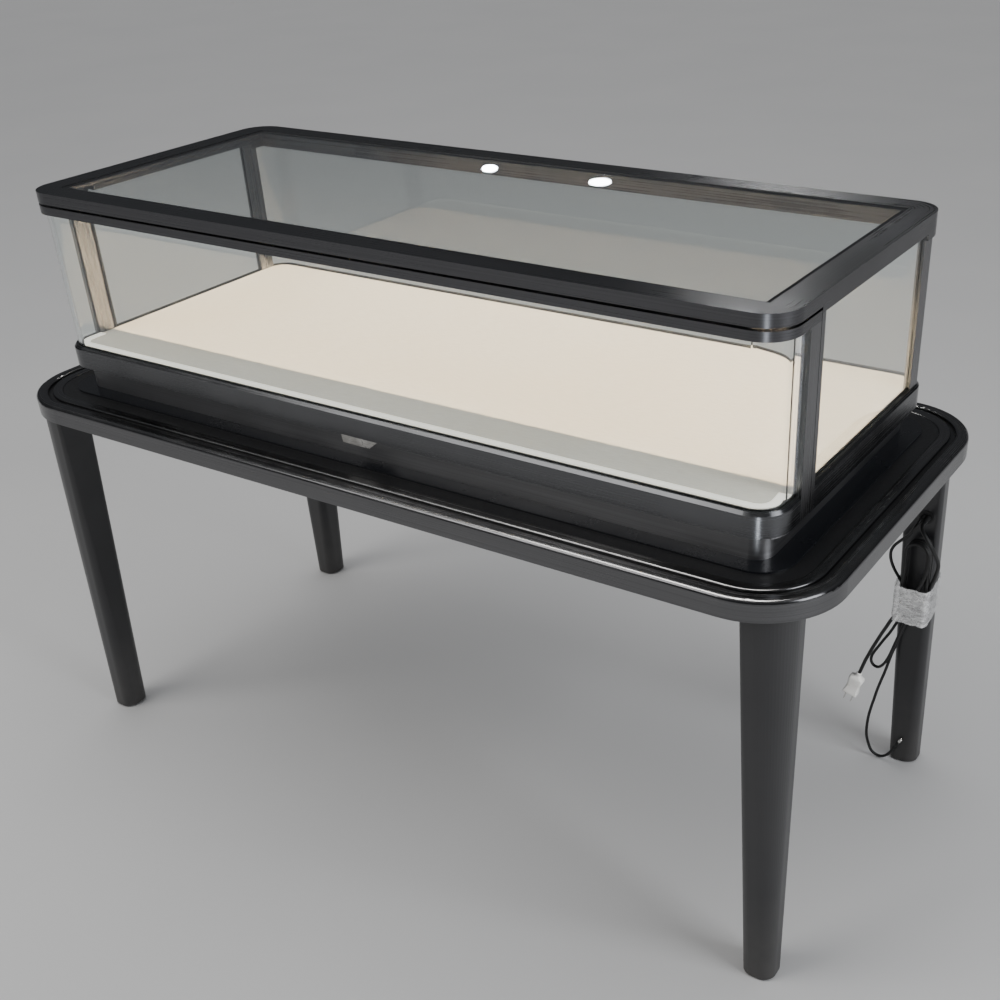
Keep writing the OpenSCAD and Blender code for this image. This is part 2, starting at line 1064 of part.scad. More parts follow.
module plug_pins() {
    color("#c9c9c9")
        at_end(plug_route)
            for (x = [-pin_pitch / 2, pin_pitch / 2])
                translate([x - pin_t / 2, -pin_w / 2, plug_len])
                    cube([pin_t, pin_w, pin_l]);
}

module lead_connector() {
    color("#b9b9bd")
        at_end(floor_route) {
            cylinder(r = sleeve_r, h = sleeve_l);
            translate([0, 0, sleeve_l])
                cylinder(r = tip_r, h = tip_l);
        }
}

// clear stretch film round the leg and the hank
module film_section(t) {
    hull() {
        translate(film_leg)
            square(2 * (film_leg_half + t), center = true);
        translate([hank_x - film_x - t, film_y0 - t])
            square([2 * (film_x + t), film_front_t]);
    }
}

module film_wrap() {
    color([0.9, 0.9, 0.92, 0.35])
        translate([0, 0, film_z0])
            linear_extrude(film_z1 - film_z0)
                difference() {
                    film_section(film_t);
                    film_section(0);
                }
}

table_edge();
table_band();
table_strip();
top_panel();
table_core();
leg_front_left();
leg_front_right();
leg_rear_left();
leg_rear_right();
leg_plates();
leg_bolts();
foot_pads();
base_skirt();
base_frame();
base_plate();
body_rail();
body_seal();
front_post_left();
front_post_right();
rear_post_left();
rear_post_right();
top_frame();
frame_seal();
top_glass();
side_glass_left();
side_glass_right();
rear_glass();
led_channel();
led_diffuser();
led_driver();
runner_outer_left();
runner_outer_right();
runner_middle_left();
runner_middle_right();
runner_inner_left();
runner_inner_right();
front_rail();
stile_left();
stile_right();
door_rail();
front_seal();
front_glass();
deck_board();
deck_cover();
deck_trim();
drawer_box();
pull_tab();
cord_outlet();
mains_cord();
lead_cord();
cord_hank();
plug_cord();
fold_cord();
floor_cord();
mains_plug();
plug_pins();
lead_connector();
film_wrap();
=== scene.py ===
"""Looks of the tabletop display case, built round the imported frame. Metres, +Z up, front towards -Y."""

import math

import bmesh
import bpy
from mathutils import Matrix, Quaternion, Vector, noise


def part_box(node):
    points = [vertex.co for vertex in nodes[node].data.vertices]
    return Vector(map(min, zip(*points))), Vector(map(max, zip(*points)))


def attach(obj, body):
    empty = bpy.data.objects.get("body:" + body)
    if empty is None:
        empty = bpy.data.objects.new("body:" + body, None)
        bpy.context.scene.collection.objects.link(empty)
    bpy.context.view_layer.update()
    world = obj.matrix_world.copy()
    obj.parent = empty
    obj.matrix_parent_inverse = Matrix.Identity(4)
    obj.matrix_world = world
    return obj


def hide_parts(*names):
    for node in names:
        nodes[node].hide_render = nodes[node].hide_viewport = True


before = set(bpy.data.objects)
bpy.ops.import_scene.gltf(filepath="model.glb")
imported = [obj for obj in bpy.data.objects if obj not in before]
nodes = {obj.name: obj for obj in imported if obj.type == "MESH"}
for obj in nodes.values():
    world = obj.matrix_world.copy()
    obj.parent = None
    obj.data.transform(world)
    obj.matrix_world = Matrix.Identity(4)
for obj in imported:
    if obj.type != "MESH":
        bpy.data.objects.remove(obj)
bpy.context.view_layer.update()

MM = 0.001
CASE_LO, CASE_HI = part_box("top_frame")
TABLE_LO, TABLE_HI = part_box("table_edge")
CASE_R = 45 * MM
TABLE_R = 117 * MM
HANK_LO, HANK_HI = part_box("cord_hank")
FILM_LO, FILM_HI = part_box("film_wrap")
LED_LO, LED_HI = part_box("led_diffuser")

# ---------- camera ----------

CAMERA_AT = Vector((1.1911, -1.5086, 1.4305))
CAMERA_AIM = Vector((0.2407, -0.0734, 0.3517))
CAMERA_ROLL = -2.23
LENS = 46.9
SHIFT = (-0.0839, 0.1152)


def make_camera():
    data = bpy.data.cameras.new("camera")
    data.lens = LENS
    data.shift_x, data.shift_y = SHIFT
    camera = bpy.data.objects.new("camera", data)
    bpy.context.scene.collection.objects.link(camera)
    camera.location = CAMERA_AT
    camera.rotation_mode = "QUATERNION"
    look = (CAMERA_AIM - CAMERA_AT).to_track_quat("-Z", "Y")
    camera.rotation_quaternion = look @ Quaternion((0, 0, 1), math.radians(CAMERA_ROLL))
    bpy.context.scene.camera = camera


# ---------- small helpers ----------


def smooth(points, steps=6):
    """Points of a smooth curve through the given ones."""
    out = []
    last = len(points) - 1
    for i in range(last):
        a = points[max(i - 1, 0)]
        b = points[i]
        c = points[i + 1]
        d = points[min(i + 2, last)]
        for k in range(steps):
            t = k / steps
            line = 2 * b + (c - a) * t
            square = (2 * a - 5 * b + 4 * c - d) * t**2
            cube = (3 * b - a - 3 * c + d) * t**3
            out.append(0.5 * (line + square + cube))
    out.append(points[-1])
    return out


def run_length(points):
    """Length of the straight steps between points."""
    return sum((b - a).length for a, b in zip(points, points[1:]))


def new_object(name, data):
    obj = bpy.data.objects.new(name, data)
    bpy.context.scene.collection.objects.link(obj)
    return obj


def mesh_object(name, verts, faces, material):
    data = bpy.data.meshes.new(name)
    data.from_pydata([tuple(v) for v in verts], [], faces)
    data.materials.append(material)
    for face in data.polygons:
        face.use_smooth = True
    work = bmesh.new()
    work.from_mesh(data)
    bmesh.ops.recalc_face_normals(work, faces=work.faces)
    work.to_mesh(data)
    work.free()
    return new_object(name, data)


def axes_along(direction):
    """Two unit vectors square to a direction."""
    axis = direction.normalized()
    side = axis.cross(Vector((0, 1, 0))).normalized()
    return axis, side, axis.cross(side)


def loft(name, rings, material):
    """Closed skin through rings with equal point counts."""
    count = len(rings[0])
    verts = [p for ring in rings for p in ring]
    faces = []
    for i in range(len(rings) - 1):
        for k in range(count):
            a = i * count + k
            b = i * count + (k + 1) % count
            faces.append((a, b, b + count, a + count))
    faces.append(tuple(range(count)))
    faces.append(tuple(range((len(rings) - 1) * count, len(rings) * count)))
    return mesh_object(name, verts, faces, material)


def lathe(name, start, direction, profile, material, count=28):
    """Round piece along a direction; profile is (distance along, radius)."""
    axis, side, up = axes_along(direction)
    angles = [2 * math.pi * k / count for k in range(count)]
    rings = []
    for along, radius in profile:
        centre = start + axis * along
        rings.append([centre + side * radius * math.cos(a) + up * radius * math.sin(a) for a in angles])
    return loft(name, rings, material)


# ---------- material helpers ----------

# Most of a noise texture lies between these levels.
NOISE_LOW = 0.3
NOISE_HIGH = 0.7


class Graph:
    """A material's node tree with short calls."""

    def __init__(self, name):
        self.material = bpy.data.materials.new(name)
        self.material.use_nodes = True
        self.tree = self.material.node_tree
        self.shader = self.tree.nodes["Principled BSDF"]
        self.output = self.tree.nodes["Material Output"]
        self.coords = self.tree.nodes.new("ShaderNodeTexCoord").outputs["Object"]
        split = self.tree.nodes.new("ShaderNodeSeparateXYZ")
        self.tree.links.new(self.coords, split.inputs[0])
        self.x, self.y, self.z = split.outputs

    def feed(self, socket, value):
        if isinstance(value, bpy.types.NodeSocket):
            self.tree.links.new(value, socket)
        else:
            socket.default_value = value

    def set(self, **values):
        for name, value in values.items():
            self.feed(self.shader.inputs[name.replace("_", " ")], value)

    def math(self, operation, a, b=0.0):
        node = self.tree.nodes.new("ShaderNodeMath")
        node.operation = operation
        self.feed(node.inputs[0], a)
        self.feed(node.inputs[1], b)
        return node.outputs[0]

    def vector(self, x, y, z):
        node = self.tree.nodes.new("ShaderNodeCombineXYZ")
        for socket, value in zip(node.inputs, (x, y, z)):
            self.feed(socket, value)
        return node.outputs[0]

    def scaled(self, x, y, z):
        """The object's coordinates, each times its own factor, in noise cycles per metre."""
        pairs = zip((self.x, self.y, self.z), (x, y, z))
        return self.vector(*(self.math("MULTIPLY", axis, factor) for axis, factor in pairs))

    def noise(self, vector, scale=1.0, detail=3.0, roughness=0.5):
        node = self.tree.nodes.new("ShaderNodeTexNoise")
        self.feed(node.inputs["Vector"], vector)
        node.inputs["Scale"].default_value = scale
        node.inputs["Detail"].default_value = detail
        node.inputs["Roughness"].default_value = roughness
        return node.outputs["Fac"]

    def cells(self, vector, scale):
        node = self.tree.nodes.new("ShaderNodeTexVoronoi")
        self.feed(node.inputs["Vector"], vector)
        node.inputs["Scale"].default_value = scale
        return node.outputs["Distance"]

    def remap(self, value, low, high, to_low, to_high):
        node = self.tree.nodes.new("ShaderNodeMapRange")
        self.feed(node.inputs["Value"], value)
        for name, number in (("From Min", low), ("From Max", high), ("To Min", to_low), ("To Max", to_high)):
            node.inputs[name].default_value = number
        return node.outputs["Result"]

    def spread(self, noise_value, to_low, to_high):
        """Noise, spread over a range."""
        return self.remap(noise_value, NOISE_LOW, NOISE_HIGH, to_low, to_high)

    def mix(self, factor, a, b):
        node = self.tree.nodes.new("ShaderNodeMix")
        node.data_type = "RGBA"
        self.feed(node.inputs["Factor"], factor)
        self.feed(node.inputs["A"], a)
        self.feed(node.inputs["B"], b)
        return node.outputs["Result"]

    def bump(self, height, strength, distance):
        node = self.tree.nodes.new("ShaderNodeBump")
        self.feed(node.inputs["Height"], height)
        node.inputs["Strength"].default_value = strength
        node.inputs["Distance"].default_value = distance
        self.tree.links.new(node.outputs[0], self.shader.inputs["Normal"])

    def outline_depth(self, half_x, half_y, radius):
        """Distance inwards from a rounded rectangle, so that grain follows its bends."""
        qx = self.math("SUBTRACT", self.math("ABSOLUTE", self.x), half_x - radius)
        qy = self.math("SUBTRACT", self.math("ABSOLUTE", self.y), half_y - radius)
        px = self.math("MAXIMUM", qx, 0.0)
        py = self.math("MAXIMUM", qy, 0.0)
        squares = self.math("ADD", self.math("MULTIPLY", px, px), self.math("MULTIPLY", py, py))
        far = self.math("SQRT", squares)
        near = self.math("MINIMUM", self.math("MAXIMUM", qx, qy), 0.0)
        return self.math("SUBTRACT", radius, self.math("ADD", far, near))

    def through_lamps(self, tint):
        """Lets shadow rays pass, so that lamps light what is behind the surface."""
        path = self.tree.nodes.new("ShaderNodeLightPath")
        clear = self.tree.nodes.new("ShaderNodeBsdfTransparent")
        clear.inputs["Color"].default_value = tint
        mixer = self.tree.nodes.new("ShaderNodeMixShader")
        self.tree.links.new(path.outputs["Is Shadow Ray"], mixer.inputs[0])
        self.tree.links.new(self.shader.outputs[0], mixer.inputs[1])
        self.tree.links.new(clear.outputs[0], mixer.inputs[2])
        self.tree.links.new(mixer.outputs[0], self.output.inputs["Surface"])


def grey(value):
    return (value, value, value, 1.0)


def tinted(colour, factor):
    return tuple(c * factor for c in colour[:3]) + (1.0,)


# ---------- materials ----------


# Noise cycles per metre of brushed steel.
BRUSH_ACROSS = 420.0
BRUSH_ALONG = 1.3


def brushed(name, colour, rough, grain, anisotropy=0.0):
    """Brushed steel. grain(graph) gives two fine coordinates across the grain and a slow one along it."""
    g = Graph(name)
    g.set(Anisotropic=anisotropy, Anisotropic_Rotation=0.25)
    fine_a, fine_b, slow = grain(g)
    lines = g.vector(
        g.math("MULTIPLY", fine_a, BRUSH_ACROSS),
        g.math("MULTIPLY", fine_b, BRUSH_ACROSS),
        g.math("MULTIPLY", slow, BRUSH_ALONG),
    )
    streak = g.noise(lines, detail=4.0, roughness=0.7)
    smudge = g.noise(g.coords, scale=9.0, detail=4.0)
    g.set(Metallic=1.0)
    dark = tinted(colour, 0.85)
    bright = tinted(colour, 1.18)
    g.set(Base_Color=g.mix(g.spread(streak, 0, 1), dark, bright))
    touched = g.remap(smudge, 0.35, 0.7, -0.03, 0.06)
    mixed = g.math("ADD", g.spread(streak, -0.07, 0.07), touched)
    g.set(Roughness=g.math("ADD", mixed, rough))
    g.bump(streak, 0.08, 0.0003)
    return g.material


def round_table(g):
    """Grain round the table's outline."""
    half = (TABLE_HI - TABLE_LO) / 2
    return g.outline_depth(half.x, half.y, TABLE_R), g.z, g.math("SUBTRACT", g.x, g.y)


def round_case(g):
    """Grain round the case's outline."""
    half = (CASE_HI - CASE_LO) / 2
    return g.outline_depth(half.x, half.y, CASE_R), g.z, g.math("SUBTRACT", g.x, g.y)


def upright(g):
    """Grain up and down."""
    return g.x, g.y, g.z


def lengthwise(g):
    """Grain along X."""
    return g.y, g.z, g.x


def leg_paint():
    """Dark powder coat with orange peel, dusty near the floor."""
    dark = (0.021, 0.021, 0.023, 1)
    light = (0.033, 0.033, 0.035, 1)
    dust_colour = (0.30, 0.28, 0.25, 1)
    dusty_height = 0.16
    g = Graph("leg_coating")
    peel = g.noise(g.coords, scale=420.0, detail=2.0)
    cloud = g.noise(g.coords, scale=6.0, detail=5.0)
    low_down = g.remap(g.z, 0.0, dusty_height, 1.0, 0.0)
    dust = g.math("MULTIPLY", low_down, g.noise(g.coords, scale=34.0, detail=6.0))
    base = g.mix(g.spread(cloud, 0, 1), dark, light)
    g.set(Base_Color=g.mix(g.math("MULTIPLY", dust, 0.22), base, dust_colour))
    g.set(Roughness=g.math("ADD", g.spread(cloud, 0.30, 0.42), g.math("MULTIPLY", dust, 0.3)))
    g.set(Coat_Weight=0.25, Coat_Roughness=0.25)
    g.bump(peel, 0.10, 0.0003)
    return g.material


def gloss_panel():
    """Gloss black panel, smeared, with patches of dust specks."""
    black = (0.012, 0.013, 0.016, 1)
    dust_colour = (0.30, 0.29, 0.28, 1)
    g = Graph("gloss_black")
    smear = g.noise(g.coords, scale=5.0, detail=6.0, roughness=0.65)
    specks = g.remap(g.cells(g.coords, 260.0), 0.02, 0.05, 1.0, 0.0)
    here = g.remap(g.noise(g.coords, scale=26.0, detail=2.0), 0.58, 0.7, 0.0, 1.0)
    dust = g.math("MULTIPLY", specks, here)
    g.set(Base_Color=g.mix(g.math("MULTIPLY", dust, 0.25), black, dust_colour))
    g.set(Roughness=g.remap(smear, 0.3, 0.75, 0.20, 0.34), Specular_IOR_Level=0.4)
    g.set(Coat_Weight=0.08, Coat_Roughness=0.1)
    g.bump(smear, 0.02, 0.0005)
    return g.material


def satin_black():
    """Satin black paint with a fine grain."""
    dark = (0.012, 0.012, 0.013, 1)
    light = (0.022, 0.022, 0.023, 1)
    g = Graph("satin_black")
    grain = g.noise(g.coords, scale=300.0, detail=3.0)
    g.set(Base_Color=g.mix(grain, dark, light))
    g.set(Roughness=g.spread(grain, 0.32, 0.46))
    g.bump(grain, 0.15, 0.0003)
    return g.material


def plywood():
    """Grain along X, with plies stacked in Z."""
    dark = (0.42, 0.28, 0.15, 1)
    light = (0.66, 0.48, 0.29, 1)
    glue_line = (0.28, 0.17, 0.09, 1)
    ply = 3 * MM
    g = Graph("plywood")
    grain = g.noise(g.scaled(6.0, 90.0, 160.0), detail=6.0, roughness=0.6)
    plies = g.math("SINE", g.math("MULTIPLY", g.z, 2 * math.pi / ply))
    tone = g.mix(g.remap(grain, 0.3, 0.72, 0, 1), dark, light)
    g.set(Base_Color=g.mix(g.remap(plies, -1.0, 1.0, 0.0, 0.22), tone, glue_line))
    g.set(Roughness=g.spread(grain, 0.55, 0.75))
    g.bump(grain, 0.3, 0.0006)
    return g.material


def deck_lining():
    """Cream woven lining with slubs, faintly yellowed in patches."""
    shade = (0.80, 0.745, 0.66, 1)
    light = (0.89, 0.84, 0.755, 1)
    yellowed = (0.82, 0.72, 0.56, 1)
    thread = 2.2 * MM
    g = Graph("deck_lining")
    turn = 2 * math.pi / thread
    warp = g.math("SINE", g.math("MULTIPLY", g.x, turn))
    weft = g.math("SINE", g.math("MULTIPLY", g.y, turn))
    slub = g.noise(g.scaled(60.0, 380.0, 0.0), detail=4.0)
    cloud = g.noise(g.coords, scale=3.5, detail=5.0)
    base = g.mix(g.spread(slub, 0, 1), shade, light)
    g.set(Base_Color=g.mix(g.remap(cloud, 0.45, 0.8, 0.0, 0.35), base, yellowed))
    g.set(Roughness=0.85, Sheen_Weight=0.15)
    g.bump(g.math("ADD", g.math("MULTIPLY", warp, weft), slub), 0.18, 0.0003)
    return g.material


def clear_glass(name, tint, smear):
    """Clear glass; smear is its roughness where it was touched most."""
    through = (0.93, 0.95, 0.94, 1)
    g = Graph(name)
    haze = g.noise(g.coords, scale=7.0, detail=6.0, roughness=0.7)
    g.set(Base_Color=tint, Transmission_Weight=1.0, IOR=1.5)
    g.set(Roughness=g.remap(haze, 0.52, 0.85, 0.0, smear))
    g.through_lamps(through)
    return g.material


def rubber(name, value, rough):
    """Black rubber of a grey value, chalky in patches."""
    g = Graph(name)
    grain = g.noise(g.coords, scale=900.0, detail=2.0)
    chalk = g.noise(g.coords, scale=40.0, detail=5.0)
    g.set(Base_Color=g.mix(g.remap(chalk, 0.45, 0.8, 0, 1), grey(value), grey(value * 2.2)))
    g.set(Roughness=g.spread(chalk, rough - 0.08, rough + 0.08))
    g.bump(grain, 0.12, 0.0002)
    return g.material


def moulded_white():
    """White moulded plastic, soiled where it is handled."""
    clean = (0.84, 0.84, 0.82, 1)
    soiled = (0.70, 0.68, 0.63, 1)
    g = Graph("plug_white")
    grain = g.noise(g.coords, scale=700.0, detail=2.0)
    handled = g.noise(g.coords, scale=70.0, detail=5.0)
    g.set(Base_Color=g.mix(g.remap(handled, 0.5, 0.8, 0, 1), clean, soiled))
    g.set(Roughness=g.spread(handled, 0.26, 0.42))
    g.bump(grain, 0.08, 0.0002)
    return g.material


def plated(name, colour, rough):
    """Plated metal, duller where it is rubbed."""
    g = Graph(name)
    rub = g.noise(g.coords, scale=160.0, detail=5.0, roughness=0.7)
    g.set(Metallic=1.0, Base_Color=g.mix(g.remap(rub, 0.4, 0.75, 0, 1), colour, tinted(colour, 0.72)))
    g.set(Roughness=g.spread(rub, rough - 0.06, rough + 0.1))
    g.bump(rub, 0.06, 0.0002)
    return g.material


def worn_plate():
    """Light plate, dulled in patches by hands, with long level scratches."""
    clean = (0.74, 0.73, 0.70, 1)
    dulled = (0.30, 0.29, 0.27, 1)
    g = Graph("worn_plate")
    scratch = g.noise(g.scaled(60.0, 60.0, 900.0), detail=3.0, roughness=0.6)
    haze = g.noise(g.coords, scale=45.0, detail=3.0)
    dull = g.math("ADD", g.remap(haze, 0.35, 0.65, 0.0, 0.55), g.remap(scratch, 0.45, 0.6, 0.0, 0.3))
    g.set(Base_Color=g.mix(dull, clean, dulled))
    g.set(Metallic=0.5, Roughness=g.spread(haze, 0.26, 0.48))
    g.bump(scratch, 0.15, 0.0003)
    return g.material


def opal_cover(name, strength):
    """Frosted white plastic that glows: the real glow of a lamp on the LED cover, painted light on the deck
    trim; gives back its graph.
    """
    white_plastic = (0.93, 0.92, 0.89, 1)
    glow = (1.0, 0.93, 0.80, 1)
    g = Graph(name)
    frost = g.noise(g.coords, scale=500.0, detail=2.0)
    g.set(Base_Color=white_plastic, Emission_Color=glow, Emission_Strength=strength)
    g.set(Roughness=g.spread(frost, 0.35, 0.5))
    g.bump(frost, 0.1, 0.0002)
    return g


def stretch_film():
    """Clear film with level creases that catch the light."""
    film_colour = (0.90, 0.91, 0.93, 1)
    g = Graph("clear_film")
    folds = g.noise(g.scaled(34.0, 34.0, 105.0), detail=5.0, roughness=0.62)
    ridges = g.remap(g.math("ABSOLUTE", g.math("SUBTRACT", folds, 0.5)), 0.0, 0.05, 1.0, 0.0)
    g.set(Base_Color=film_colour, Specular_IOR_Level=0.9, Coat_Weight=1.0, Coat_Roughness=0.06)
    g.set(Roughness=g.spread(folds, 0.08, 0.3))
    g.set(Alpha=g.math("ADD", g.remap(folds, 0.35, 0.7, 0.20, 0.34), g.math("MULTIPLY", ridges, 0.30)))
    g.bump(g.math("ADD", folds, g.math("MULTIPLY", ridges, 0.3)), 0.9, 0.002)
    return g.material


def paint(material, *names):
    """Gives CAD nodes a material."""
    for name in names:
        obj = nodes[name]
        if obj.material_slots:
            for slot in obj.material_slots:
                slot.material = material
        else:
            obj.data.materials.append(material)


# ---------- cords ----------


def route(*points):
    """Points given in mm."""
    return [Vector(p) * MM for p in points]


MAINS_D = 6 * MM
LEAD_D = 5 * MM
MAINS_ROUTE = route(
    (665, 231, 480), (665, 225, 480), (667, 217, 479), (672, 210, 476), (679, 206, 470), (686, 205, 461),
    (692, 207, 450), (696, 212, 438), (698, 219, 425), (697, 225, 412), (694, 230, 400), (691, 233, 388),
    (687, 236, 376), (684, 238, 364), (681, 239, 352), (680, 239, 340),
)  # fmt: skip
LEAD_ROUTE = route(
    (657, 241, 480), (657, 237, 480), (656, 232, 477), (653, 229, 471), (649, 228, 463), (643, 229, 454),
    (636, 231, 446), (629, 233, 438), (622, 235, 429), (617, 237, 418), (616, 239, 406), (618, 241, 395),
    (622, 243, 384), (627, 246, 373), (633, 248, 363), (638, 250, 352), (641, 250, 341),
)  # fmt: skip
PLUG_ROUTE = route(
    (650, 227, 336), (643, 227, 322), (637, 228, 309), (630, 229, 295), (624, 229, 281), (617, 230, 265),
    (611, 230, 250), (605, 230, 235), (600, 230, 221), (595, 230, 207), (591, 230, 193), (587, 230, 179),
)  # fmt: skip
FOLD_ROUTE = route(
    (642, 250, 322), (641, 250, 306), (637, 250, 290), (631, 250, 274), (624, 250, 258), (616, 250, 243),
    (609, 250, 229), (603, 250, 217), (599, 249, 207), (599, 247, 198), (604, 246, 191), (612, 245, 190),
    (619, 244, 196), (625, 243, 206), (630, 243, 219), (634, 243, 233), (638, 243, 248), (642, 244, 263),
    (646, 244, 278), (651, 245, 293), (657, 245, 307),
)  # fmt: skip
FLOOR_ROUTE = route(
    (652, 248, 318), (652, 250, 304), (650, 250, 290), (646, 250, 273), (641, 250, 256), (637, 250, 239),
    (632, 250, 221), (628, 250, 203), (624, 250, 184), (619, 250, 164), (614, 250, 143), (610, 250, 122),
    (606, 250, 101), (603, 250, 80), (602, 250, 60), (603, 250, 42), (607, 251, 26), (613, 251, 13),
    (621, 252, 6), (630, 253, 4), (639, 254, 8), (646, 255, 17), (651, 255, 27),
)  # fmt: skip

HANK_X = (HANK_LO.x + HANK_HI.x) / 2
FOLD_R = 19 * MM
FOLD_LOW = HANK_LO.z + (HANK_HI.x - HANK_LO.x) / 2
FOLD_HIGH = HANK_HI.z - (HANK_HI.x - HANK_LO.x) / 2
TURN_POINTS = 8


def fold(height, start, end, y_start, y_end):
    """Half a turn about one end of the hank, between two angles in degrees."""
    out = []
    for k in range(TURN_POINTS + 1):
        t = k / TURN_POINTS
        angle = math.radians(start + (end - start) * t)
        x = HANK_X + FOLD_R * math.cos(angle)
        out.append(Vector((x, y_start + (y_end - y_start) * t, height + FOLD_R * math.sin(angle))))
    return out


def straight(x, y, start, end):
    """The straight side of a turn, without its ends."""
    return [Vector((x, y, start + (end - start) * k / 3)) for k in (1, 2)]


def mains_turns():
    """Two turns: round below, up the left side, over the top and down the right side.

    The last run crosses down to the plug.
    """
    layers = [239.2 * MM, 233.0 * MM, 226.8 * MM]
    right = HANK_X + FOLD_R
    left = HANK_X - FOLD_R
    out = []
    for now, after in zip(layers, layers[1:]):
        out += fold(FOLD_LOW, 0, -180, now, now)
        out += straight(left, now, FOLD_LOW, FOLD_HIGH)
        out += fold(FOLD_HIGH, 180, 0, now, after)
        if after != layers[-1]:
            out += straight(right, after, FOLD_HIGH, FOLD_LOW)
    return out + route((680, 227, 408), (677, 227, 390), (671, 227, 371), (662, 227, 353))


def lead_turn():
    """From the low fold up the right side, over the top and down the left side.

    It ends where the run to the floor starts.
    """
    y = 244.8 * MM
    right = HANK_X + FOLD_R
    left = HANK_X - FOLD_R
    rise = route((665, 245, 321), (673, 245, 335), (679, 245, 350))
    out = rise + [Vector((right, y, z * MM)) for z in (368, 396)]
    out += fold(FOLD_HIGH, 0, 180, y, y)
    out += [Vector((left, y, z * MM)) for z in (400, 376, 356)]
    return out + route((645, 245, 342), (649, 246, 330))


def cord_object(name, points, diameter, material):
    """Round cord as one open spline."""
    data = bpy.data.curves.new(name, "CURVE")
    data.dimensions = "3D"
    data.bevel_depth = diameter / 2
    data.bevel_resolution = 5
    data.use_fill_caps = True
    spline = data.splines.new("POLY")
    spline.points.add(len(points) - 1)
    for point, place in zip(spline.points, points):
        point.co = (*place, 1)
    spline.use_smooth = True
    data.materials.append(material)
    return new_object(name, data)


def rounded_ring(centre, side, up, half_w, half_h, corner, count=6):
    """Points of a rounded rectangle square to a direction."""
    out = []
    for quarter, (sx, sy) in enumerate(((1, 1), (-1, 1), (-1, -1), (1, -1))):
        for k in range(count):
            angle = math.radians(90 * quarter + 90 * k / (count - 1))
            x = sx * (half_w - corner) + corner * math.cos(angle)
            y = sy * (half_h - corner) + corner * math.sin(angle)
            out.append(centre + side * x + up * y)
    return out


# Along the axis, half width, half height and corner radius, in mm.
PLUG_SECTIONS = [
    (0.0, 4.2, 4.2, 4.0), (1.2, 4.9, 4.9, 4.6), (2.4, 4.2, 4.2, 4.0), (3.6, 5.1, 5.0, 4.7),
    (4.8, 4.4, 4.4, 4.2), (6.0, 5.4, 5.2, 4.9), (7.4, 6.2, 5.4, 5.0), (9.0, 9.8, 6.6, 5.2),
    (11.0, 12.2, 7.6, 4.6), (14.0, 12.9, 8.1, 4.0), (20.0, 12.0, 7.6, 3.8), (27.0, 11.0, 7.0, 3.6),
    (34.0, 11.2, 7.2, 3.4), (40.0, 12.3, 8.0, 3.0), (43.5, 12.9, 8.4, 2.6), (45.2, 12.7, 8.2, 2.4),
    (46.0, 11.8, 7.4, 2.0),
]  # fmt: skip

# Distance along the axis and radius, in mm.
TIP_PROFILE = [(17.5, 2.4), (18.0, 2.7), (27.0, 2.7), (27.6, 2.3), (27.8, 1.2), (22.0, 1.1), (22.0, 0.4)]


def sleeve_profile():
    """Ribbed strain relief and plain body: distance along the axis and radius, in mm."""
    out = [(0.0, 2.7), (1.0, 3.3)]
    for k in range(4):
        out += [(2.0 + 2 * k, 2.9 + 0.1 * k), (3.0 + 2 * k, 3.5 + 0.12 * k)]
    return out + [(11.0, 4.0), (17.0, 4.0), (18.0, 3.6)]


def in_metres(profile):
    """A profile given in mm."""
    return [(along * MM, radius * MM) for along, radius in profile]


def plug_body(material):
    """Two-pin plug: ribbed neck, shoulders, a waist for the fingers and a flat face."""
    start = PLUG_ROUTE[-1]
    axis, side, up = axes_along(PLUG_ROUTE[-1] - PLUG_ROUTE[-2])
    rings = [
        rounded_ring(start + axis * along * MM, side, up, half_w * MM, half_h * MM, corner * MM)
        for along, half_w, half_h, corner in PLUG_SECTIONS
    ]
    return loft("plug_body", rings, material)


def make_cords(jacket, white, metal):
    """Both leads with what is on their ends; gives back the plug and the tip."""
    mains_points = smooth(MAINS_ROUTE + mains_turns() + PLUG_ROUTE)
    mains = cord_object("mains_lead", mains_points, MAINS_D, jacket)
    plug = plug_body(white)
    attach(mains, "root")
    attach(plug, "root")
    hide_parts("mains_cord", "cord_hank", "plug_cord")
    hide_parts("mains_plug")
    lead_points = smooth(LEAD_ROUTE + FOLD_ROUTE + lead_turn() + FLOOR_ROUTE)
    lead = cord_object("low_voltage_lead", lead_points, LEAD_D, jacket)
    start = FLOOR_ROUTE[-1]
    ahead = FLOOR_ROUTE[-1] - FLOOR_ROUTE[-2]
    sleeve = lathe("connector_sleeve", start, ahead, in_metres(sleeve_profile()), jacket)
    tip = lathe("connector_tip", start, ahead, in_metres(TIP_PROFILE), metal)
    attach(lead, "root")
    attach(sleeve, "root")
    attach(tip, "root")
    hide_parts("lead_cord", "fold_cord", "floor_cord")
    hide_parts("lead_connector")
    return [plug, tip]


# ---------- stretch film round the hank ----------


def turns_right(a, b, c):
    """Whether the way from a over b to c turns right or goes straight on."""
    return (b[0] - a[0]) * (c[1] - a[1]) <= (b[1] - a[1]) * (c[0] - a[0])


def hull_outline(points):
    """Convex outline of points in the XY plane."""
    points = sorted(set(points))

    def half(seq):
        out = []
        for p in seq:
            while len(out) > 1 and turns_right(out[-2], out[-1], p):
                out.pop()
            out.append(p)
        return out[:-1]

    return half(points) + half(points[::-1])


def resampled(loop, count):
    """Equal steps round a closed loop."""
    corners = [Vector(p) for p in loop] + [Vector(loop[0])]
    total = run_length(corners)
    out = []
    for k in range(count):
        left = total * k / count
        for a, b in zip(corners, corners[1:]):
            if left <= (b - a).length:
                out.append(a.lerp(b, left / (b - a).length))
                break
            left -= (b - a).length
    return out


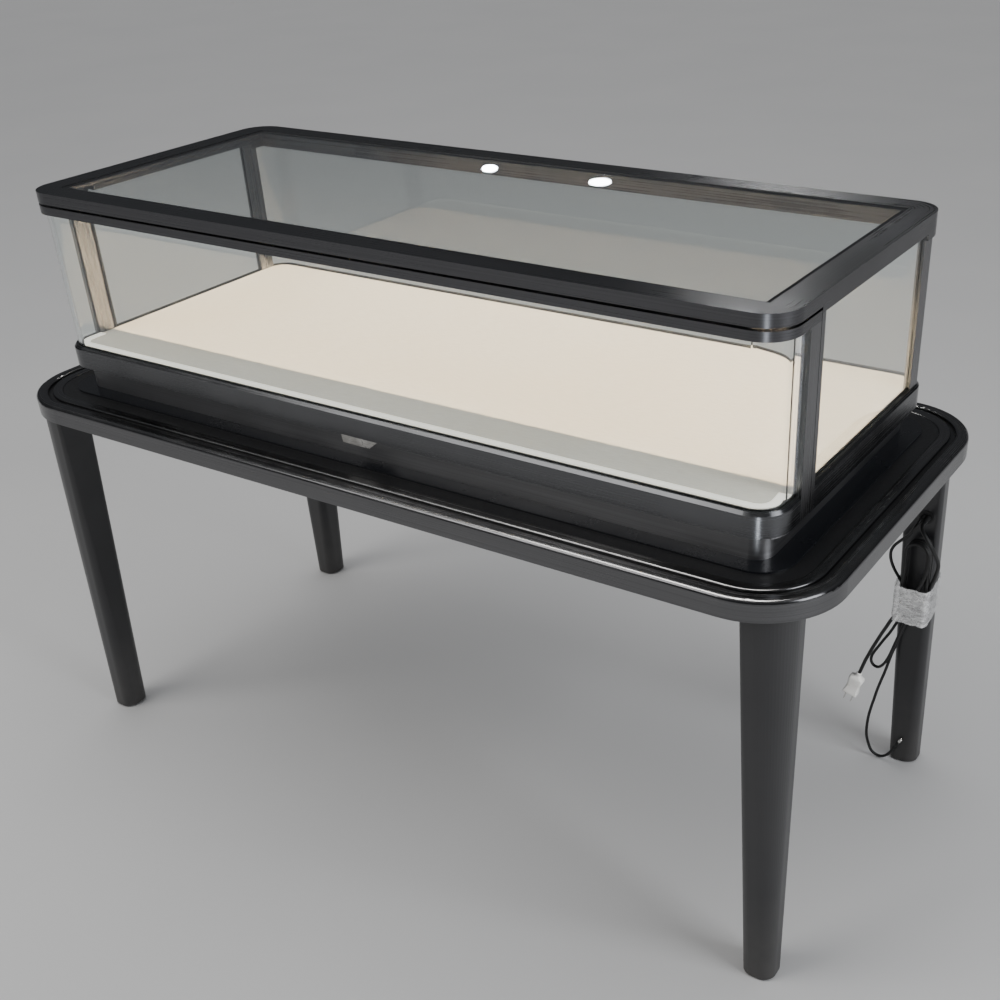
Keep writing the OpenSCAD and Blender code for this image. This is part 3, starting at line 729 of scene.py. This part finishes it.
def rounded_loop(loop, passes):
    """A closed loop, smoothed by averaging each point with its neighbours."""
    for _ in range(passes):
        before = loop[-1:] + loop[:-1]
        after = loop[1:] + loop[:1]
        loop = [(a + b * 2 + c) / 4 for a, b, c in zip(before, loop, after)]
    return loop


# The leg's section at the film, in mm: three small corners and one large outer round.
LEG_CORNERS = [(627.5, 253.5), (629, 310), (685.5, 256)]
LEG_ROUND_AT = (656.3, 283.3)
LEG_ROUND_R = 29.4 * MM
LEG_ROUND_STEPS = 8
# The film's own section in front of the leg, in mm; its front face is the film solid's.
FILM_SIDES = [(628, 234), (689, 232)]
FILM_FRONT_X = (633, 684)
FILM_MIDDLE = (658 * MM, 270 * MM)
FILM_STEPS = 220
FILM_ROWS = 44
FILM_WALL = 0.15 * MM
ROUNDING_PASSES = 8
# How far its two edges wander, and how deep it lies under its outline, in mm.
EDGE_WANDER = 3.0
MEAN_DEPTH = 0.9
CREASE_DEPTH = 0.8
WRINKLE_DEPTH = 0.3
DEPTH_SHARE = 0.8
# Noise cycles per metre of the creases and of the small wrinkles.
CREASES_LEVEL = 40
CREASES_ASKEW = 22
CREASES_UP = 170
WRINKLES = 420


def film_outline():
    """Level section of the film, round the leg and across the hank in front of it."""
    leg = [(x * MM, y * MM) for x, y in LEG_CORNERS]
    centre_x = LEG_ROUND_AT[0] * MM
    centre_y = LEG_ROUND_AT[1] * MM
    for k in range(LEG_ROUND_STEPS + 1):
        angle = math.radians(90 * k / LEG_ROUND_STEPS)
        leg.append((centre_x + LEG_ROUND_R * math.cos(angle), centre_y + LEG_ROUND_R * math.sin(angle)))
    sides = [(x * MM, y * MM) for x, y in FILM_SIDES]
    front = sides + [(x * MM, FILM_LO.y) for x in FILM_FRONT_X]
    return rounded_loop(resampled(hull_outline(leg + front), FILM_STEPS), ROUNDING_PASSES)


def film_point(place, k, row):
    """One point of the film, pulled inwards by its creases; its top and bottom edges are ragged."""
    t = row / FILM_ROWS
    drift = Vector((k * 0.11, row * 0.001, 4.0))
    edge = noise.noise(drift) * EDGE_WANDER * MM * (abs(2 * t - 1) ** 3)
    z = FILM_LO.z + (FILM_HI.z - FILM_LO.z) * t - edge * (1 if t > 0.5 else -1)
    z = min(max(z, FILM_LO.z), FILM_HI.z)
    point = Vector((place.x, place.y, z))
    along = point.x * CREASES_LEVEL + point.z * CREASES_ASKEW
    crease = 1 - abs(noise.noise(Vector((along, point.y * CREASES_LEVEL, point.z * CREASES_UP)))) * 4
    wrinkle = noise.noise(point * WRINKLES)
    depth = (MEAN_DEPTH + CREASE_DEPTH * max(crease, -0.4) + WRINKLE_DEPTH * wrinkle) * MM
    centre = Vector((*FILM_MIDDLE, z))
    return point + (centre - point).normalized() * depth * DEPTH_SHARE


def make_film(material):
    """Stretch film as one creased skin, tight round the leg and bridging the cords."""
    loop = film_outline()
    count = len(loop)
    verts = [film_point(place, k, row) for row in range(FILM_ROWS + 1) for k, place in enumerate(loop)]
    faces = []
    for row in range(FILM_ROWS):
        for k in range(count):
            a = row * count + k
            b = row * count + (k + 1) % count
            faces.append((a, b, b + count, a + count))
    film = mesh_object("stretch_film", verts, faces, material)
    wall = film.modifiers.new("wall", "SOLIDIFY")
    wall.thickness = FILM_WALL
    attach(film, "root")
    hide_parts("film_wrap")
    return film


# ---------- studio ----------


def area_light(name, place, aim, size, energy, colour=(1, 1, 1)):
    """Flat light of a size in metres and an energy in watts, turned towards aim."""
    data = bpy.data.lights.new(name, "AREA")
    data.shape = "RECTANGLE"
    data.size, data.size_y = size
    data.energy = energy
    data.color = colour
    light = new_object(name, data)
    light.location = place
    light.rotation_mode = "QUATERNION"
    light.rotation_quaternion = (Vector(aim) - Vector(place)).to_track_quat("-Z", "Y")
    return light


def make_floor():
    """Plain pale floor, wide enough to fill the view."""
    dark = (0.66, 0.66, 0.66, 1)
    light = (0.72, 0.715, 0.71, 1)
    half = 60.0
    g = Graph("floor")
    cloud = g.noise(g.coords, scale=1.6, detail=6.0)
    g.set(Base_Color=g.mix(cloud, dark, light), Roughness=0.62)
    g.bump(g.noise(g.coords, scale=160.0), 0.05, 0.0005)
    corners = [(-half, -half, 0), (half, -half, 0), (half, half, 0), (-half, half, 0)]
    floor = mesh_object("floor", corners, [(0, 1, 2, 3)], g.material)
    return floor


def make_world():
    """Plain surroundings, darker below than above."""
    world = bpy.data.worlds.new("studio")
    bpy.context.scene.world = world
    world.use_nodes = True
    tree = world.node_tree
    back = tree.nodes["Background"]
    where = tree.nodes.new("ShaderNodeTexCoord")
    split = tree.nodes.new("ShaderNodeSeparateXYZ")
    ramp = tree.nodes.new("ShaderNodeValToRGB")
    tree.links.new(where.outputs["Generated"], split.inputs[0])
    tree.links.new(split.outputs[2], ramp.inputs[0])
    tree.links.new(ramp.outputs[0], back.inputs["Color"])
    ramp.color_ramp.elements[0].color = (0.10, 0.105, 0.115, 1)
    ramp.color_ramp.elements[1].color = (0.42, 0.43, 0.45, 1)
    back.inputs["Strength"].default_value = 0.45


def only_on(light, *objects):
    """Keeps a small reflector light to the pieces it is meant for."""
    group = bpy.data.collections.new(light.name + "_receivers")
    for obj in objects:
        group.objects.link(obj)
    light.light_linking.receiver_collection = group


def named(*names):
    """The CAD nodes of these names."""
    return [nodes[name] for name in names]


KEY_COLOUR = (1.0, 0.985, 0.96)
FILL_COLOUR = (0.95, 0.97, 1.0)
OVERHEAD_COLOUR = (1.0, 0.97, 0.92)
COOL_CARD = (0.9, 0.95, 1.0)
WARM_CARD = (1.0, 0.98, 0.94)
LED_COLOUR = (1.0, 0.79, 0.54)
# Place along X and width of the two round spots that the lid's glass reflects.
CEILING_SPOTS = ((-4.34, 0.11), (-3.45, 0.15))


def make_lights(floor, details):
    """Key and fill, small lights that each reach a few pieces only, and a wide sky for the floor."""
    case_mid = (0, 0, CASE_HI.z * 0.75)
    area_light("key", (-1.6, -2.2, 3.4), case_mid, (2.0, 2.0), 55, KEY_COLOUR)
    area_light("fill", (3.2, -0.3, 1.9), (0.3, 0.1, 0.4), (1.4, 1.8), 48, FILL_COLOUR)

    table_mid = (-0.05, -0.11, TABLE_HI.z)
    above = area_light("overhead", (-0.05, -0.1, 2.6), table_mid, (1.7, 0.8), 110, OVERHEAD_COLOUR)
    only_on(above, *named("table_edge", "table_band", "front_rail"))

    lid_front = (0.6, -0.26, CASE_HI.z)
    glint = area_light("lid_glint", (-1.45, 4.02, 2.57), lid_front, (0.36, 0.12), 5)
    only_on(glint, nodes["top_frame"])

    corner = (CASE_HI.x, CASE_LO.y, 0.7)
    low = area_light("low_card", (1.2, -1.42, 0.3), corner, (0.16, 0.55), 4.6, COOL_CARD)
    rims = named("front_rail", "base_skirt", "door_rail", "top_frame")
    only_on(low, *rims, *named("stile_right", "front_post_right"))

    plug_place = (0.64, 0.24, 0.25)
    card = area_light("cord_card", (1.5, -0.6, 0.8), plug_place, (0.3, 0.3), 11.0, WARM_CARD)
    only_on(card, *details)

    lid_rear = (0, 0.16, CASE_HI.z)
    for k, (x, width) in enumerate(CEILING_SPOTS):
        spot = area_light(f"ceiling_spot_{k}", (x, 5.89, 2.6), lid_rear, (width, 0.05), 0.8, COOL_CARD)
        spot.data.shape = "ELLIPSE"
        only_on(spot, nodes["top_glass"])

    place = Vector((0, LED_HI.y - 1.2 * MM, LED_HI.z - 0.3 * MM))
    rearwards = Vector((0, 1, 0))
    size = (LED_HI.x - LED_LO.x, 0.4 * MM)
    strip = area_light("led_strip", place, place + rearwards, size, 300, LED_COLOUR)
    lit = named("deck_cover", "deck_trim", "body_rail", "front_rail", "led_diffuser", "led_channel")
    only_on(strip, *lit)

    sky = bpy.data.lights.new("floor_sky", "SUN")
    sky.energy = 1.1
    sky.angle = math.radians(75)
    lamp = new_object("floor_sky", sky)
    lamp.rotation_euler = (math.radians(-12), math.radians(-14), 0)
    only_on(lamp, floor)


# ---------- build ----------

make_camera()

jacket = rubber("cord_jacket", value=0.011, rough=0.42)
white = moulded_white()
pin_metal = plated("plug_metal", (0.78, 0.77, 0.73, 1), rough=0.2)
details = make_cords(jacket, white, pin_metal)
details.append(make_film(stretch_film()))

paint(
    brushed("table_steel", (0.13, 0.13, 0.134, 1), rough=0.23, grain=round_table, anisotropy=0.4),
    "table_edge", "table_band",
)  # fmt: skip
paint(
    brushed("rim_steel", (0.115, 0.117, 0.122, 1), rough=0.23, grain=round_case, anisotropy=0.6),
    "front_rail", "body_rail",
)  # fmt: skip
paint(
    brushed("frame_steel", (0.11, 0.11, 0.116, 1), rough=0.30, grain=round_case, anisotropy=0.6),
    "top_frame", "door_rail",
)  # fmt: skip
# Painted light: this steel has a much lighter colour than the rim's steel, to lift the shade under the rim's
# overhang and the panel's dark reflection in it.
paint(
    brushed("base_steel_painted_lift", (0.34, 0.34, 0.35, 1), rough=0.38, grain=round_case, anisotropy=0.6),
    "base_skirt", "base_plate",
)  # fmt: skip
paint(
    brushed("post_steel", (0.16, 0.16, 0.165, 1), rough=0.25, grain=upright),
    "stile_left", "stile_right", "front_post_left", "front_post_right", "rear_post_left", "rear_post_right",
)  # fmt: skip
paint(leg_paint(), "leg_front_left", "leg_front_right", "leg_rear_left", "leg_rear_right")
paint(gloss_panel(), "top_panel")
paint(satin_black(), "table_strip", "table_core")
paint(plywood(), "base_frame", "drawer_box", "deck_board")
paint(deck_lining(), "deck_cover")
paint(
    clear_glass("wall_glass", (0.955, 0.985, 0.975, 1), smear=0.035),
    "front_glass", "rear_glass", "side_glass_left", "side_glass_right",
)  # fmt: skip
paint(clear_glass("lid_glass", (0.95, 0.98, 0.97, 1), smear=0.05), "top_glass")
paint(
    rubber("seal_rubber", value=0.012, rough=0.5),
    "body_seal", "frame_seal", "front_seal", "cord_outlet", "foot_pads",
)  # fmt: skip
paint(
    brushed("zinc_steel", (0.55, 0.56, 0.57, 1), rough=0.32, grain=lengthwise),
    "leg_plates", "leg_bolts", "runner_outer_left", "runner_outer_right",
    "runner_middle_left", "runner_middle_right", "runner_inner_left", "runner_inner_right",
)  # fmt: skip
paint(brushed("light_alloy", (0.70, 0.70, 0.71, 1), rough=0.28, grain=lengthwise), "led_channel")
paint(worn_plate(), "pull_tab")
cover = opal_cover("led_cover", strength=4.0)
cover.through_lamps((1, 1, 1, 1))
paint(cover.material, "led_diffuser")
# Painted light: the deck trim is no lamp, yet it glows, standing in for the light that falls on this white
# strip.
paint(opal_cover("edge_strip_painted_glow", strength=0.7).material, "deck_trim")
paint(white, "led_driver")
paint(pin_metal, "plug_pins")

floor = make_floor()
make_world()
make_lights(floor, details)
